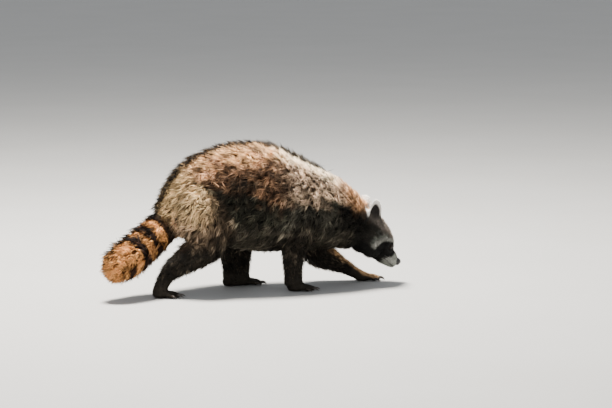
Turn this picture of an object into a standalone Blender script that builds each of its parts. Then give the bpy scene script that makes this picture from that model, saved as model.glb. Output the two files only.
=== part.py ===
"""A walking raccoon, life size, as a still museum model.

Frame: metres, +Z up. The animal walks towards +X with its right side towards -Y, and stands on Z = 0.
The whole coat is modelled first, as tubes round the spine, limbs and tail that a voxel remesh fuses
into one body. Thin cuts then part that body into trunk, neck, head, tail and legs, and the feet, ears,
eyes and nose are added as pieces of their own.
"""

import math
from collections import namedtuple

import bmesh
import bpy
import numpy as np
from mathutils import Matrix, Vector

# Driving dimensions
NOSE_TIP = Vector((0.317, 0.0, 0.040))
HEAD_PITCH = math.radians(41)  # the bite plane points down by this much
GAP = 0.00035  # between neighbouring solids
CUT_MARGIN = 0.006  # a cutter stands this far outside the limb that it takes
ANKLE_HEIGHT = 0.026  # each paw is cut off its leg here
PAW_BLOCK = Vector((0.070, 0.045, 0.020))  # ahead of, beside and below the middle of a paw
PAW_BLOCK_BEHIND = 0.030
FAR = 0.9  # the side of a block that cuts away everything past a plane
NECK_BASE = Vector((0.150, 0, 0.160))  # the cut between trunk and neck goes through here
NECK_BASE_NORMAL = Vector((0.90, 0, -0.44))

# How finely things are made
VOXEL = 0.0022
SMOOTHING_PASSES = 4
BODY_TRIANGLES = 2600
TUBE_SIDES = 28
SPLINE_STEPS = 6
CUTTER_SIDES = 12
CUTTER_STEPS = 2
CLAW_SIDES = 5
EAR_ROWS = 6
EAR_COLUMNS = 6
SMALL_BALL_FINENESS = 2

COAT_ROUGHNESS = 0.9
# Each part whose name starts so: its colour and roughness.
LOOKS = {
    "trunk": ((0.20, 0.14, 0.09), COAT_ROUGHNESS),
    "neck": ((0.22, 0.13, 0.075), COAT_ROUGHNESS),
    "head": ((0.25, 0.235, 0.215), COAT_ROUGHNESS),
    "lower_jaw": ((0.20, 0.19, 0.175), COAT_ROUGHNESS),
    "ear": ((0.16, 0.14, 0.12), COAT_ROUGHNESS),
    "eye": ((0.008, 0.006, 0.005), 0.08),
    "nose": ((0.012, 0.011, 0.011), 0.35),
    "thigh": ((0.19, 0.16, 0.13), COAT_ROUGHNESS),
    "shin": ((0.05, 0.038, 0.028), COAT_ROUGHNESS),
    "upper_arm": ((0.12, 0.105, 0.085), COAT_ROUGHNESS),
    "forearm": ((0.05, 0.038, 0.028), COAT_ROUGHNESS),
    "hind_paw": ((0.022, 0.017, 0.014), COAT_ROUGHNESS),
    "fore_paw": ((0.022, 0.017, 0.014), COAT_ROUGHNESS),
    "tail": ((0.33, 0.19, 0.09), COAT_ROUGHNESS),
}

# One ring of a tube: where its centre is, and how far it reaches sideways, up and down from there.
Ring = namedtuple("Ring", "x y z wide up down")


def round_ring(x, y, z, wide, deep):
    return Ring(x, y, z, wide, deep, deep)


# The trunk from the tail's root to the neck, along the arched spine.
TRUNK = [
    Ring(-0.196, 0, 0.148, 0.032, 0.034, 0.030),
    Ring(-0.176, 0, 0.154, 0.052, 0.053, 0.044),
    Ring(-0.152, 0, 0.162, 0.069, 0.078, 0.060),
    Ring(-0.118, 0, 0.170, 0.084, 0.106, 0.078),
    Ring(-0.070, 0, 0.176, 0.092, 0.122, 0.088),
    Ring(-0.020, 0, 0.178, 0.096, 0.129, 0.097),
    Ring(0.030, 0, 0.174, 0.096, 0.126, 0.099),
    Ring(0.075, 0, 0.166, 0.092, 0.112, 0.093),
    Ring(0.115, 0, 0.157, 0.086, 0.099, 0.085),
    Ring(0.155, 0, 0.146, 0.077, 0.090, 0.074),
    Ring(0.195, 0, 0.132, 0.064, 0.075, 0.060),
    Ring(0.225, 0, 0.119, 0.053, 0.059, 0.050),
]

# Each limb from its joint in the trunk down to the wrist or ankle. The right hind foot pushes off, the left
# one stands under the belly, and the left forefoot reaches ahead.
HIND_RIGHT = [
    round_ring(-0.122, -0.040, 0.212, 0.030, 0.045),
    round_ring(-0.120, -0.050, 0.180, 0.043, 0.060),
    round_ring(-0.116, -0.056, 0.142, 0.045, 0.062),
    round_ring(-0.118, -0.060, 0.106, 0.038, 0.046),
    round_ring(-0.152, -0.060, 0.079, 0.028, 0.034),
    round_ring(-0.186, -0.059, 0.057, 0.020, 0.026),
    round_ring(-0.206, -0.058, 0.034, 0.016, 0.018),
    round_ring(-0.214, -0.058, 0.012, 0.015, 0.014),
]
HIND_LEFT = [
    round_ring(-0.105, 0.040, 0.212, 0.030, 0.045),
    round_ring(-0.090, 0.050, 0.180, 0.043, 0.060),
    round_ring(-0.058, 0.056, 0.145, 0.044, 0.058),
    round_ring(-0.026, 0.060, 0.108, 0.037, 0.050),
    round_ring(-0.022, 0.058, 0.070, 0.029, 0.039),
    round_ring(-0.022, 0.055, 0.038, 0.021, 0.034),
    round_ring(-0.022, 0.054, 0.012, 0.016, 0.027),
]
FORE_RIGHT = [
    round_ring(0.110, -0.040, 0.176, 0.026, 0.036),
    round_ring(0.098, -0.050, 0.145, 0.033, 0.042),
    round_ring(0.082, -0.055, 0.112, 0.031, 0.036),
    round_ring(0.072, -0.055, 0.078, 0.025, 0.028),
    round_ring(0.072, -0.052, 0.046, 0.020, 0.024),
    round_ring(0.073, -0.050, 0.014, 0.016, 0.020),
]
FORE_LEFT = [
    round_ring(0.120, 0.036, 0.172, 0.026, 0.034),
    round_ring(0.126, 0.046, 0.138, 0.033, 0.040),
    round_ring(0.138, 0.051, 0.100, 0.031, 0.036),
    round_ring(0.156, 0.051, 0.064, 0.028, 0.036),
    round_ring(0.196, 0.048, 0.040, 0.022, 0.024),
    round_ring(0.228, 0.046, 0.023, 0.016, 0.016),
    round_ring(0.246, 0.045, 0.013, 0.015, 0.011),
]
LIMBS = [
    ("thigh_right", "shin_right", HIND_RIGHT),
    ("thigh_left", "shin_left", HIND_LEFT),
    ("upper_arm_right", "forearm_right", FORE_RIGHT),
    ("upper_arm_left", "forearm_left", FORE_LEFT),
]
LIMB_BEND = 3  # the ring at the knee or elbow
PAST_BEND = 0.03  # the upper cut goes on this far, so that nothing is left beside the knee
TAIL = [
    round_ring(-0.160, 0.000, 0.150, 0.030, 0.034),
    round_ring(-0.197, -0.006, 0.132, 0.036, 0.038),
    round_ring(-0.230, -0.023, 0.109, 0.039, 0.040),
    round_ring(-0.259, -0.043, 0.091, 0.041, 0.041),
    round_ring(-0.284, -0.061, 0.078, 0.040, 0.040),
    round_ring(-0.305, -0.076, 0.069, 0.035, 0.036),
    round_ring(-0.319, -0.086, 0.064, 0.026, 0.026),
    round_ring(-0.327, -0.092, 0.061, 0.010, 0.010),
]
TAIL_CUTS = (2, 3, 4, 5)  # the rings where the tail is divided

# The head along its own axis: how far behind the nose tip, then the height of its top and underside above the
# bite plane through the nose, and its half width.
HEAD = [
    (-0.002, 0.004, -0.008, 0.006),
    (-0.010, 0.010, -0.018, 0.0125),
    (-0.024, 0.016, -0.024, 0.0175),
    (-0.036, 0.021, -0.028, 0.0225),
    (-0.048, 0.031, -0.031, 0.031),
    (-0.064, 0.043, -0.034, 0.042),
    (-0.086, 0.051, -0.037, 0.050),
    (-0.110, 0.053, -0.039, 0.049),
    (-0.132, 0.047, -0.041, 0.045),
]
# Places on the head are given the same way: behind, beside and above the nose tip.
CHEEK = Vector((-0.084, 0.034, -0.012))
CHEEK_RADII = Vector((0.030, 0.022, 0.028))
EYE = Vector((-0.046, 0.0250, 0.0140))
EYE_RADIUS = 0.0085
NOSE = Vector((-0.0035, 0, 0.0005))
NOSE_RADII = Vector((0.0075, 0.0095, 0.0075))
EAR_ROOT = Vector((-0.111, 0.036, 0.029))
EAR_TIP = Vector((-0.139, 0.041, 0.068))
EAR_FACING = Vector((0.42, 0.90, 0.10))  # ahead, outward and up, which way the hollow looks
EAR_HALF_WIDTH = 0.0195
EAR_THICKNESS = 0.0045
EAR_CUP = 0.008
HEAD_CUT = -0.124  # where the head is cut off the neck
JAW_CUT = -0.066  # where the lower jaw ends
MOUTH_HEIGHT = -0.014

# A paw: the middle of its palm, its heading in degrees to the left, and how far back its heel reaches.
Paw = namedtuple("Paw", "x y heading heel")
# Each toe's spread from straight ahead in degrees, and its reach from the middle of the palm.
TOES = [(-44, 0.030), (-20, 0.038), (0, 0.041), (20, 0.038), (44, 0.030)]
# Along a toe: how far from root to tip, its height, its half width and its half thickness.
TOE_ROOT = 0.010
TOE_SHAPE = [(0.0, 0.0090, 0.0060, 0.0060), (0.5, 0.0083, 0.0060, 0.0060), (1.0, 0.0045, 0.0052, 0.0050)]
PALM_HEIGHT = 0.0095
PALM_RADII = Vector((0.018, 0.0175, 0.012))
HEEL_RADII = Vector((0.014, 0.013, 0.0125))
# Along a claw: how far ahead of the toe tip in claw lengths, its height over the toe's middle, and its
# thickness as a share of the root's.
CLAW_SHAPE = [(-0.20, 0.0010, 1.0), (0.50, 0.0014, 1.0), (1.05, -0.0014, 0.4)]
CLAW_LENGTH = 0.011
CLAW_HALF_WIDTH = 0.0015
CLAW_HALF_DEPTH = 0.0019
PAWS = {
    "hind_paw_right": Paw(-0.211, -0.058, -6, 0.000),
    "hind_paw_left": Paw(-0.006, 0.054, 5, 0.034),
    "fore_paw_right": Paw(0.078, -0.050, -5, 0.006),
    "fore_paw_left": Paw(0.250, 0.045, 4, 0.000),
}


def clear_scene():
    for obj in list(bpy.data.objects):
        bpy.data.objects.remove(obj)


def material(name, colour, roughness):
    made = bpy.data.materials.new(name)
    made.use_nodes = True
    shader = made.node_tree.nodes["Principled BSDF"]
    shader.inputs["Base Color"].default_value = (*colour, 1.0)
    shader.inputs["Roughness"].default_value = roughness
    return made


def add_object(name, mesh):
    obj = bpy.data.objects.new(name, mesh)
    bpy.context.scene.collection.objects.link(obj)
    return obj


def object_from(name, build):
    """A new object whose mesh is made by build(bm)."""
    bm = bmesh.new()
    build(bm)
    bm.normal_update()
    bmesh.ops.recalc_face_normals(bm, faces=bm.faces)
    if bm.calc_volume(signed=True) < 0:
        bmesh.ops.reverse_faces(bm, faces=bm.faces)
    mesh = bpy.data.meshes.new(name)
    bm.to_mesh(mesh)
    bm.free()
    return add_object(name, mesh)


def copy_of(obj, name):
    return add_object(name, obj.data.copy())


def apply_modifiers(obj):
    """Replaces the object's mesh by what its modifiers make of it."""
    graph = bpy.context.evaluated_depsgraph_get()
    made = bpy.data.meshes.new_from_object(obj.evaluated_get(graph))
    obj.modifiers.clear()
    obj.data = made


def spline(rings, steps=SPLINE_STEPS):
    """The rings with others between them, on a Catmull-Rom curve through every value."""
    rows = np.array(rings, float)
    ends = np.vstack([2 * rows[0] - rows[1], rows, 2 * rows[-1] - rows[-2]])
    found = []
    for a, b, c, d in zip(ends, ends[1:], ends[2:], ends[3:]):
        for t in np.arange(steps) / steps:
            found.append(0.5 * (2 * b + (c - a) * t + (2 * a - 5 * b + 4 * c - d) * t**2
                                + (3 * b - a - 3 * c + d) * t**3))
    found.append(rows[-1])
    return np.array(found)


def loft(bm, loops):
    """Faces between each loop of vertices and the next, with a lid at both ends."""
    sides = len(loops[0])
    for first, second in zip(loops, loops[1:]):
        for k in range(sides):
            after = (k + 1) % sides
            bm.faces.new((first[k], first[after], second[after], second[k]))
    bm.faces.new(reversed(loops[0]))
    bm.faces.new(loops[-1])


def tube(name, rings, margin=0.0, sides=TUBE_SIDES, steps=SPLINE_STEPS, side_hint=Vector((0, 1, 0))):
    """A closed tube round the rings. Its sides and its two ends stand margin outside them."""
    rows = spline(rings, steps)
    centres = [Vector(row[:3]) for row in rows]
    ahead = [(centres[min(i + 1, len(rows) - 1)] - centres[max(i - 1, 0)]).normalized()
             for i in range(len(rows))]
    centres[0] -= ahead[0] * margin
    centres[-1] += ahead[-1] * margin

    def build(bm):
        loops = []
        for centre, along, row in zip(centres, ahead, rows):
            side = (side_hint - along * side_hint.dot(along)).normalized()
            upward = along.cross(side)
            loop = []
            for k in range(sides):
                turn = 2 * math.pi * k / sides
                tall = row[4] if math.sin(turn) > 0 else row[5]
                loop.append(bm.verts.new(centre + side * math.cos(turn) * (row[3] + margin)
                                         + upward * math.sin(turn) * (tall + margin)))
            loops.append(loop)
        loft(bm, loops)

    return object_from(name, build)


def ball(name, centre, radii, turn=None, fineness=3):
    """An ellipsoid of about even triangles."""
    turn = turn or Matrix.Identity(3)

    def build(bm):
        bmesh.ops.create_icosphere(bm, subdivisions=fineness, radius=1.0)
        stretch = Matrix.Diagonal(radii)
        for vert in bm.verts:
            vert.co = centre + turn @ (stretch @ vert.co)

    return object_from(name, build)


def fuse(name, pieces, voxel, smoothing, triangles):
    """One closed body out of overlapping ones, with its creases rounded, in about that many triangles."""
    bm = bmesh.new()
    for piece in pieces:
        bm.from_mesh(piece.data)
        bpy.data.objects.remove(piece)
    mesh = bpy.data.meshes.new(name)
    bm.to_mesh(mesh)
    bm.free()
    obj = add_object(name, mesh)
    remesh = obj.modifiers.new("Fuse", "REMESH")
    remesh.mode = "VOXEL"
    remesh.voxel_size = voxel
    smooth = obj.modifiers.new("Round", "SMOOTH")
    smooth.factor = 0.5
    smooth.iterations = smoothing
    apply_modifiers(obj)
    thin = obj.modifiers.new("Thin", "DECIMATE")
    thin.ratio = triangles / sum(len(face.vertices) - 2 for face in obj.data.polygons)
    thin.use_collapse_triangulate = True
    apply_modifiers(obj)
    return obj


def boolean(obj, cutter, operation):
    """Applies one exact Boolean to obj."""
    step = obj.modifiers.new(operation, "BOOLEAN")
    step.operation = operation
    step.solver = "EXACT"
    step.object = cutter
    apply_modifiers(obj)


def spend(obj, cutter, operation):
    """A Boolean whose cutter isn't needed again. Crumbs that a cut leaves loose are dropped."""
    boolean(obj, cutter, operation)
    bpy.data.objects.remove(cutter)
    keep_largest(obj)


def keep_largest(obj):
    """Removes every loose piece but the one with the most vertices."""
    bm = bmesh.new()
    bm.from_mesh(obj.data)
    bm.verts.ensure_lookup_table()
    left = set(bm.verts)
    pieces = []
    for start in bm.verts:
        if start not in left:
            continue
        left.discard(start)
        piece = [start]
        for vert in piece:
            for edge in vert.link_edges:
                other = edge.other_vert(vert)
                if other in left:
                    left.discard(other)
                    piece.append(other)
        pieces.append(piece)
    pieces.sort(key=len)
    for piece in pieces[:-1]:
        bmesh.ops.delete(bm, geom=piece, context="VERTS")
    bm.to_mesh(obj.data)
    bm.free()


def block_past(point, normal):
    """A block that fills all space near the part past the plane through point, on normal's side."""
    turn = normal.to_track_quat("Z", "Y").to_matrix()

    def build(bm):
        bmesh.ops.create_cube(bm, size=FAR)
        for vert in bm.verts:
            vert.co = point + turn @ (vert.co + Vector((0, 0, FAR / 2)))

    return object_from("block", build)


def split(obj, name, point, normal):
    """Cuts what lies past the plane off obj, and returns it as an object of its own."""
    normal = normal.normalized()
    rest = copy_of(obj, name)
    spend(obj, block_past(point, normal), "DIFFERENCE")
    spend(rest, block_past(point + normal * GAP, -normal), "DIFFERENCE")
    return rest


def take_tube(body, name, rings, past_end=0.0):
    """Takes what lies in a tube that stands CUT_MARGIN outside the rings, and past_end beyond the last."""
    last = Vector(rings[-1][:3])
    ahead = (last - Vector(rings[-2][:3])).normalized()
    reach = rings[:-1] + [Ring(*(last + ahead * past_end), *rings[-1][3:])]
    taken = copy_of(body, name)
    spend(taken, tube("cutter", reach, CUT_MARGIN, CUTTER_SIDES, CUTTER_STEPS), "INTERSECT")
    spend(body, tube("cutter", reach, CUT_MARGIN + GAP, CUTTER_SIDES, CUTTER_STEPS), "DIFFERENCE")
    return taken


def head_to_world(place):
    """A place given behind, beside and above the nose tip, in the animal's frame."""
    return NOSE_TIP + head_turn() @ place


def head_turn():
    return Matrix.Rotation(HEAD_PITCH, 3, "Y")


def head_solids():
    """The skull's outline as one tube, with a ball for each cheek ruff."""
    turn = head_turn()
    rings = []
    for behind, top, under, half in HEAD:
        centre = head_to_world(Vector((behind, 0, (top + under) / 2)))
        deep = (top - under) / 2
        rings.append(round_ring(*centre, half, deep))
    solids = [tube("skull", rings)]
    for side in (-1, 1):
        place = Vector((CHEEK.x, CHEEK.y * side, CHEEK.z))
        solids.append(ball("cheek", head_to_world(place), CHEEK_RADII, turn))
    return solids


def paw_turn(paw, spread=0.0):
    return Matrix.Rotation(math.radians(paw.heading + spread), 3, "Z")


def paw_solids(paw):
    """The palm or heel and five toes of a paw."""
    floor_point = Vector((paw.x, paw.y, 0.0))
    palm = floor_point + Vector((0, 0, PALM_HEIGHT))
    solids = [ball("palm", palm, PALM_RADII, paw_turn(paw))]
    if paw.heel:
        back = palm - paw_turn(paw) @ Vector((paw.heel, 0, 0))
        rings = [round_ring(*back, HEEL_RADII.y, HEEL_RADII.z), round_ring(*palm, 0.016, PALM_RADII.z)]
        solids.append(tube("heel", rings))
        solids.append(ball("heel_end", back, HEEL_RADII))
    for spread, reach in TOES:
        turn = paw_turn(paw, spread)
        rings = []
        for along, height, half_width, half_depth in TOE_SHAPE:
            forward = TOE_ROOT + (reach - TOE_ROOT) * along
            centre = floor_point + turn @ Vector((forward, 0, height))
            rings.append(round_ring(*centre, half_width, half_depth))
        solids.append(tube("toe", rings, side_hint=turn @ Vector((0, 1, 0))))
        solids.append(ball("toe_end", centre, Vector((half_width, half_width, half_depth)), turn))
    return solids


def claws(paw):
    """Five short curved claws, each from inside its toe."""
    def build(bm):
        toe_tip_height = TOE_SHAPE[-1][1]
        for spread, reach in TOES:
            turn = paw_turn(paw, spread)
            loops = []
            for forward, height, share in CLAW_SHAPE:
                loop = []
                for k in range(CLAW_SIDES):
                    angle = 2 * math.pi * k / CLAW_SIDES
                    loop.append(bm.verts.new(Vector((paw.x, paw.y, 0)) + turn @ Vector((
                        reach + forward * CLAW_LENGTH,
                        share * CLAW_HALF_WIDTH * math.cos(angle),
                        toe_tip_height + height + share * CLAW_HALF_DEPTH * math.sin(angle)))))
                loops.append(loop)
            loft(bm, loops)

    return object_from("claws", build)


def box(name, low, high, grow=0.0):
    """A block between two corners, grown on every side."""
    def build(bm):
        bmesh.ops.create_cube(bm, size=1.0)
        for vert in bm.verts:
            for axis in range(3):
                at = high[axis] + grow if vert.co[axis] > 0 else low[axis] - grow
                vert.co[axis] = at

    return object_from(name, build)


def take_paw(body, name, paw):
    """Takes everything below the ankle, inside a block round the paw."""
    low = Vector((paw.x - PAW_BLOCK_BEHIND - paw.heel, paw.y - PAW_BLOCK.y, -PAW_BLOCK.z))
    high = Vector((paw.x + PAW_BLOCK.x, paw.y + PAW_BLOCK.y, ANKLE_HEIGHT))
    taken = copy_of(body, name)
    spend(taken, box("cutter", low, high), "INTERSECT")
    spend(body, box("cutter", low, high, grow=GAP), "DIFFERENCE")
    return taken


def take_jaw(head):
    """Takes the lower jaw, which is the part in front of its hinge and under the mouth."""
    turn = head_turn()

    def jaw_block(name, grow):
        block = box(name, Vector((JAW_CUT, -FAR, -FAR)), Vector((FAR, FAR, MOUTH_HEIGHT)), grow)
        for vert in block.data.vertices:
            vert.co = NOSE_TIP + turn @ vert.co
        return block

    jaw = copy_of(head, "lower_jaw")
    spend(jaw, jaw_block("cutter", 0.0), "INTERSECT")
    spend(head, jaw_block("cutter", GAP), "DIFFERENCE")
    return jaw


def grown_copy(obj, amount):
    """A copy whose surface stands that far outside."""
    copy = copy_of(obj, "grown")
    normals = [vert.normal.copy() for vert in copy.data.vertices]
    for vert, normal in zip(copy.data.vertices, normals):
        vert.co += normal * amount
    return copy


def ear(name, side):
    """A rounded, cupped leaf of even thickness, whose root goes into the head."""
    root = head_to_world(Vector((EAR_ROOT.x, EAR_ROOT.y * side, EAR_ROOT.z)))
    tip = head_to_world(Vector((EAR_TIP.x, EAR_TIP.y * side, EAR_TIP.z)))
    upward = tip - root
    facing = Vector((EAR_FACING.x, EAR_FACING.y * side, EAR_FACING.z))
    across = upward.cross(facing).normalized()
    facing = across.cross(upward).normalized()

    def build(bm):
        sheets = []
        for sheet in (0.5, -0.5):
            rows = []
            for i in range(EAR_ROWS + 1):
                high = i / EAR_ROWS
                rounding = max(0.0, high - 0.35) / 0.68
                half = EAR_HALF_WIDTH * math.sqrt(max(0.04, 1 - rounding**2))
                row = []
                for j in range(EAR_COLUMNS + 1):
                    over = 2 * j / EAR_COLUMNS - 1
                    edge = 1 - 0.5 * abs(over) ** 3 - 0.3 * high**4
                    sunk = EAR_CUP * (1 - over**2) * (1 - 0.6 * high)
                    row.append(bm.verts.new(root + upward * high + across * half * over
                                            + facing * (sheet * EAR_THICKNESS * edge - sunk)))
                rows.append(row)
            sheets.append(rows)
        front, back = sheets
        for i in range(EAR_ROWS):
            for j in range(EAR_COLUMNS):
                bm.faces.new((front[i][j], front[i][j + 1], front[i + 1][j + 1], front[i + 1][j]))
                bm.faces.new((back[i][j], back[i + 1][j], back[i + 1][j + 1], back[i][j + 1]))
        border = [(0, j) for j in range(EAR_COLUMNS)]
        border += [(i, EAR_COLUMNS) for i in range(EAR_ROWS)]
        border += [(EAR_ROWS, j) for j in range(EAR_COLUMNS, 0, -1)]
        border += [(i, 0) for i in range(EAR_ROWS, 0, -1)]
        for (i, j), (k, m) in zip(border, border[1:] + border[:1]):
            bm.faces.new((front[i][j], back[i][j], back[k][m], front[k][m]))

    return object_from(name, build)


def put_on_floor(objects):
    """Moves the whole animal so that the middle of its box is over the origin. The soles stay on Z = 0."""
    corners = [vert.co for obj in objects for vert in obj.data.vertices]
    shift = Matrix.Translation((-(min(c.x for c in corners) + max(c.x for c in corners)) / 2,
                                -(min(c.y for c in corners) + max(c.y for c in corners)) / 2, 0))
    for obj in objects:
        obj.data.transform(shift)


def finish(obj):
    """Smooth shading, and the colour that belongs to the part's name."""
    colour, roughness = next(look for start, look in LOOKS.items() if obj.name.startswith(start))
    obj.data.materials.clear()
    obj.data.materials.append(material(obj.name + "_look", colour, roughness))
    obj.data.shade_smooth()


def make_body():
    """The whole animal in one piece, but for its ears, eyes, nose and claws, standing on flat soles."""
    solids = [tube("spine", TRUNK)] + head_solids()
    for rings in (HIND_RIGHT, HIND_LEFT, FORE_RIGHT, FORE_LEFT, TAIL):
        solids.append(tube("limb", rings))
    for paw in PAWS.values():
        solids += paw_solids(paw)
    body = fuse("trunk", solids, VOXEL, SMOOTHING_PASSES, BODY_TRIANGLES)
    spend(body, block_past(Vector((0, 0, 0)), Vector((0, 0, -1))), "DIFFERENCE")
    return body


def set_into(host, name, centre, radii, turn):
    """A ball in a socket of the host, with the gap between them."""
    room = radii + Vector((GAP, GAP, GAP))
    spend(host, ball("cutter", centre, room, turn, SMALL_BALL_FINENESS), "DIFFERENCE")
    return ball(name, centre, radii, turn, SMALL_BALL_FINENESS)


def main():
    clear_scene()
    body = make_body()
    parts = {"trunk": body}
    for name, side in (("ear_right", -1), ("ear_left", 1)):
        parts[name] = ear(name, side)
        spend(parts[name], grown_copy(body, GAP), "DIFFERENCE")

    for name, paw in PAWS.items():
        parts[name] = take_paw(body, name, paw)
        spend(parts[name], claws(paw), "UNION")
    for upper, lower, rings in LIMBS:
        parts[lower] = take_tube(body, lower, rings[LIMB_BEND:])
        parts[upper] = take_tube(body, upper, rings[:LIMB_BEND + 1], PAST_BEND)

    parts["tail_1"] = take_tube(body, "tail_1", TAIL)
    for k, at in enumerate(TAIL_CUTS):
        here = Vector(TAIL[at][:3])
        ahead = Vector(TAIL[at + 1][:3]) - Vector(TAIL[at - 1][:3])
        parts[f"tail_{k + 2}"] = split(parts[f"tail_{k + 1}"], f"tail_{k + 2}", here, ahead)

    neck = split(body, "neck", NECK_BASE, NECK_BASE_NORMAL)
    head = split(neck, "head", head_to_world(Vector((HEAD_CUT, 0, 0))), head_turn() @ Vector((1, 0, 0)))
    parts["neck"] = neck
    parts["head"] = head
    parts["nose"] = set_into(head, "nose", head_to_world(NOSE), NOSE_RADII, head_turn())
    for name, side in (("eye_right", -1), ("eye_left", 1)):
        centre = head_to_world(Vector((EYE.x, EYE.y * side, EYE.z)))
        parts[name] = set_into(head, name, centre, Vector([EYE_RADIUS] * 3), head_turn())
    parts["lower_jaw"] = take_jaw(head)

    put_on_floor(list(parts.values()))
    for obj in parts.values():
        finish(obj)


main()
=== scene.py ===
# %% [markdown]
# # A walking raccoon in Blender
# The solids of the animal are already settled: they give its outline out to the tips of the coat. This
# lesson gives them their looks. It makes one skin inside those solids, lays about 130,000 small locks of
# hair on it, and adds eyes, nose, claws and whiskers.
#
# The frame comes first. It holds every solid at its real place, in metres, with the animal walking
# towards +X and its right side towards -Y.

# %% Load the frame
import math

import bmesh
import bpy
import numpy as np
from mathutils import Matrix, Vector
from mathutils.bvhtree import BVHTree
from mathutils.kdtree import KDTree


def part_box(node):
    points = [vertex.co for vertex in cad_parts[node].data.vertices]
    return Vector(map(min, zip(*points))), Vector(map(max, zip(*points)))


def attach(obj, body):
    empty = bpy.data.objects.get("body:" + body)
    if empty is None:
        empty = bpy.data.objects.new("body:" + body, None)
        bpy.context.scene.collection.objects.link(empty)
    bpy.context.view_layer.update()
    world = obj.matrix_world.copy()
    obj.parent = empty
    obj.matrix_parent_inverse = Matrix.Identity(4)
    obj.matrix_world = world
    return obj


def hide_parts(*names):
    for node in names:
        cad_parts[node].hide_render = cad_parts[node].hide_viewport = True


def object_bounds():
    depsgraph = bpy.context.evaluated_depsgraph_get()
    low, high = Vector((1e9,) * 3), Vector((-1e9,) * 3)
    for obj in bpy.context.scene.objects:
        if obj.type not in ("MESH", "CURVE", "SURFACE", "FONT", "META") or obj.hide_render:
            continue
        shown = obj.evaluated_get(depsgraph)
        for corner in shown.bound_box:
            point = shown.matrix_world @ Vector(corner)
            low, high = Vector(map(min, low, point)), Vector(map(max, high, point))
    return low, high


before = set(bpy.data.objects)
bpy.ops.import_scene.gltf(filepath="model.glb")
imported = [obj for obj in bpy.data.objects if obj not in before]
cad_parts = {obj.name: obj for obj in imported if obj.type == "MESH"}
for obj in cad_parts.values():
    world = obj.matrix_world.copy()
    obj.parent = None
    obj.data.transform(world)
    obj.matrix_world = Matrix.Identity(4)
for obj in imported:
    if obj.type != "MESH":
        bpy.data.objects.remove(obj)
solid_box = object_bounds()
rng = np.random.default_rng(20)
print("solids:", len(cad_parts), "box:", [[round(v, 3) for v in corner] for corner in solid_box])

# %% [markdown]
# ## Landmarks
# An animal is easiest to mark out along its own parts: how far behind the nose, how far down the tail.
# The middle of each solid's box gives a point on every limb, and the way from one to the next is the way
# its hair lies. The head has axes of its own, because it points steeply down.

# %% Landmarks
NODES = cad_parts
PAWS = ["hind_paw_right", "hind_paw_left", "fore_paw_right", "fore_paw_left"]
TAIL_NODES = ["tail_1", "tail_2", "tail_3", "tail_4", "tail_5"]
FLESH = [name for name in NODES if name not in ("eye_left", "eye_right", "nose")]
HEAD_PITCH = math.radians(41)  # the muzzle points down by this much


def middle(node):
    low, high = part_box(node)
    return np.array((low + high) / 2)


MIDLINE = middle("nose")[1]
NOSE_AT = middle("nose")
MUZZLE_WAY = np.array([math.cos(HEAD_PITCH), 0.0, -math.sin(HEAD_PITCH)])
CROWN_WAY = np.array([math.sin(HEAD_PITCH), 0.0, math.cos(HEAD_PITCH)])


def head_place(points):
    """How far behind the nose, above its axis and beside the midline."""
    offset = points - NOSE_AT
    return -offset @ MUZZLE_WAY, offset @ CROWN_WAY, offset[:, 1]


TAIL_AXIS = np.array([  # the middle line of the tail, from its root to its end
    [-0.153, 0.004, 0.150], [-0.190, -0.002, 0.132], [-0.223, -0.019, 0.109], [-0.252, -0.039, 0.091],
    [-0.277, -0.057, 0.078], [-0.298, -0.072, 0.069], [-0.312, -0.082, 0.064], [-0.320, -0.088, 0.061]])


def along_tail(points):
    """The distance down the tail's bent axis of the nearest place on it, and the axis's way there."""
    best = np.full(len(points), 1e9)
    run = np.zeros(len(points))
    way = np.zeros((len(points), 3))
    start = 0.0
    for a, b in zip(TAIL_AXIS, TAIL_AXIS[1:]):
        length = np.linalg.norm(b - a)
        share = np.clip((points - a) @ (b - a) / length**2, 0, 1)
        gap = np.linalg.norm(points - (a + share[:, None] * (b - a)), axis=1)
        nearer = gap < best
        best[nearer] = gap[nearer]
        run[nearer] = start + share[nearer] * length
        way[nearer] = (b - a) / length
        start += length
    return run, way


eye_place = [round(float(v[0]), 3) for v in head_place(middle("eye_right")[None])]
print("the right eye lies", eye_place, "behind, above and beside the nose")

# %% [markdown]
# ## The skin
# A real skin runs over the whole body without a seam, so the parted solids become one mesh again. Each
# solid is grown by half a millimetre, which closes the thin cuts between them, and a voxel remesh keeps
# only the outside. Claws are horn and not skin, so the tips of the claws are first pulled back into the
# toes.

# %% Gather the solids
GROW = 0.0005
TOE_SPREADS = (-44, -20, 0, 20, 44)  # degrees from the paw's own heading
TOE_REACHES = (0.030, 0.038, 0.041, 0.038, 0.030)
TOE_HEIGHT = 0.0045
CLAW_FROM, CLAW_WITHIN = 0.0035, 0.0075  # a claw begins this far ahead and lies this near the toe's line
PULLED_BACK = 0.004
PAW_PLACES = {  # the point under each palm, and the paw's heading in degrees
    "hind_paw_right": (-0.2043, -0.0540, -6), "hind_paw_left": (0.0007, 0.0580, 5),
    "fore_paw_right": (0.0847, -0.0460, -5), "fore_paw_left": (0.2567, 0.0490, 4)}


def toe_frames(paw):
    """The end of each toe and the level way that it points."""
    x, y, heading = PAW_PLACES[paw]
    for spread, reach in zip(TOE_SPREADS, TOE_REACHES):
        angle = math.radians(heading + spread)
        way = np.array([math.cos(angle), math.sin(angle), 0.0])
        yield np.array([x, y, TOE_HEIGHT]) + reach * way, way


def points_of(mesh, kind="co"):
    """A mesh's points, or with the kind "normal" their normals, as an array."""
    values = np.zeros(len(mesh.vertices) * 3)
    mesh.vertices.foreach_get(kind, values)
    return values.reshape(-1, 3)


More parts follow.
